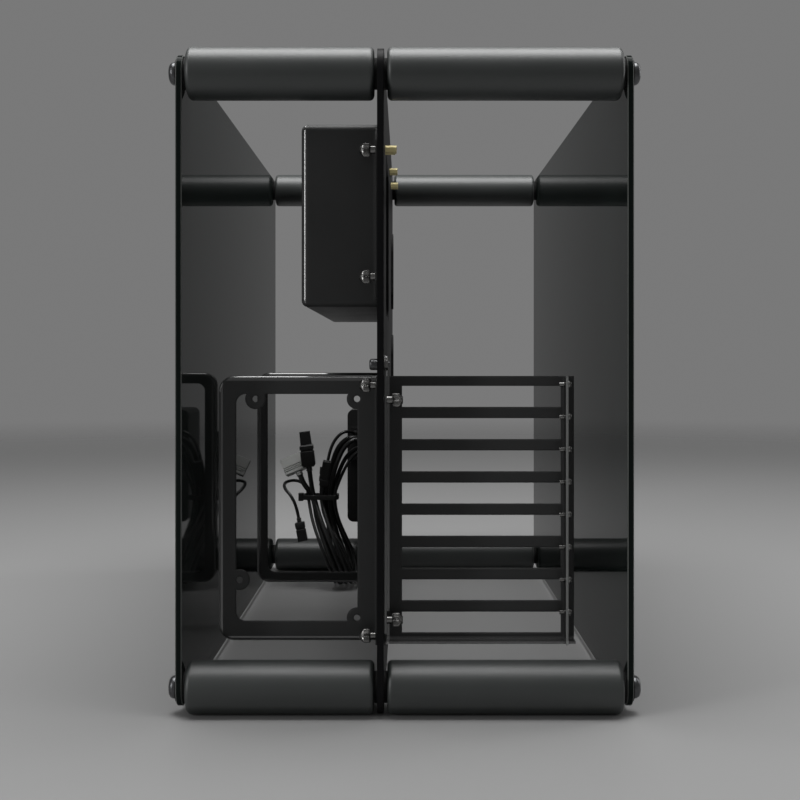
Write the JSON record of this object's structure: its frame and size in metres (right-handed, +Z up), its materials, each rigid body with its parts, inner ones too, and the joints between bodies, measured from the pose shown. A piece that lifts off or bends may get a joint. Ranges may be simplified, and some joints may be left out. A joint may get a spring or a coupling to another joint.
{
  "type": "open-frame computer case",
  "caption": "Open-frame computer case: glass sides and a middle plate held apart by round bars, with card slots, supply frame, drive cage and a front control box.",
  "frame": {"origin": "on the floor, midway between the glass sides and between back and front", "axes": "+X to the right seen from the back, +Y from the back to the front, +Z up"},
  "size_m": [0.2868, 0.52, 0.406],
  "materials": {
    "smoked_glass": "polished",
    "bar_metal": "satin anodised",
    "plate_metal": "gloss black",
    "black_rubber": "matt",
    "bolt_steel": "black",
    "bare_steel": "bare",
    "black_sheet": "satin black",
    "nickel": "nickel plated",
    "brass": "turned",
    "grommet_rubber": "matt",
    "button_plastic": "satin",
    "circuit_board": "solder mask",
    "light_plastic": "clear",
    "lead_sleeve": "semi-matt sleeve",
    "grey_plastic": "moulded",
    "black_plastic": "moulded"
  },
  "bodies": {
    "case": {"audio_lead": "lead_sleeve", "audio_plug": "black_plastic", "audio_sockets": "black_plastic", "board_standoffs": "brass", "bolt_gaskets": "black_rubber", "cable_tie": "black_plastic", "card_screws": "nickel", "control_board": "circuit_board", "control_board_screws": "nickel", "control_face_panel": "black_plastic", "control_housing": "black_plastic", "control_housing_screws": "nickel", "drive_cage": "black_sheet", "drive_cage_tab_screws": "nickel", "drive_cage_thumbscrews": "nickel", "joining_studs": "bare_steel", "lead_gland": "grommet_rubber", "left_bottom_front_bar": "bar_metal", "left_bottom_rear_bar": "bar_metal", "left_glass_panel": "smoked_glass", "left_glass_washers": "black_rubber", "left_panel_bolts": "bolt_steel", "left_plate_washers": "black_rubber", "left_top_front_bar": "bar_metal", "left_top_rear_bar": "bar_metal", "light_lead": "lead_sleeve", "light_plug": "black_plastic", "lower_grommet": "grommet_rubber", "middle_grommet": "grommet_rubber", "middle_plate": "plate_metal", "power_lead": "lead_sleeve", "power_light": "light_plastic", "power_plug": "black_plastic", "power_switch": "black_plastic", "rear_screw": "bolt_steel", "rear_screw_nut": "nickel", "reset_switch": "black_plastic", "right_bottom_front_bar": "bar_metal", "right_bottom_rear_bar": "bar_metal", "right_glass_panel": "smoked_glass", "right_glass_washers": "black_rubber", "right_panel_bolts": "bolt_steel", "right_plate_washers": "black_rubber", "right_top_front_bar": "bar_metal", "right_top_rear_bar": "bar_metal", "slot_bracket": "black_sheet", "slot_bracket_thumbscrews": "nickel", "supply_frame": "black_sheet", "supply_frame_thumbscrews": "nickel", "supply_ring": "black_sheet", "supply_ring_thumbscrews": "nickel", "upper_grommet": "grommet_rubber", "usb_c_lead": "lead_sleeve", "usb_c_plug": "black_plastic", "usb_c_socket": "bare_steel", "usb_lead": "lead_sleeve", "usb_plug": "grey_plastic", "usb_sockets": "bare_steel"},
    "power_button": {"power_button": "button_plastic"},
    "reset_button": {"reset_button": "button_plastic"}
  },
  "joints": [
    {"name": "power_press", "type": "slide", "parent": "case", "child": "power_button", "axis": [0, -1, 0], "range_m": [0, 0.0012], "stiffness_N_per_m": 800},
    {"name": "reset_press", "type": "slide", "parent": "case", "child": "reset_button", "axis": [0, -1, 0], "range_m": [0, 0.0012], "stiffness_N_per_m": 800}
  ]
}
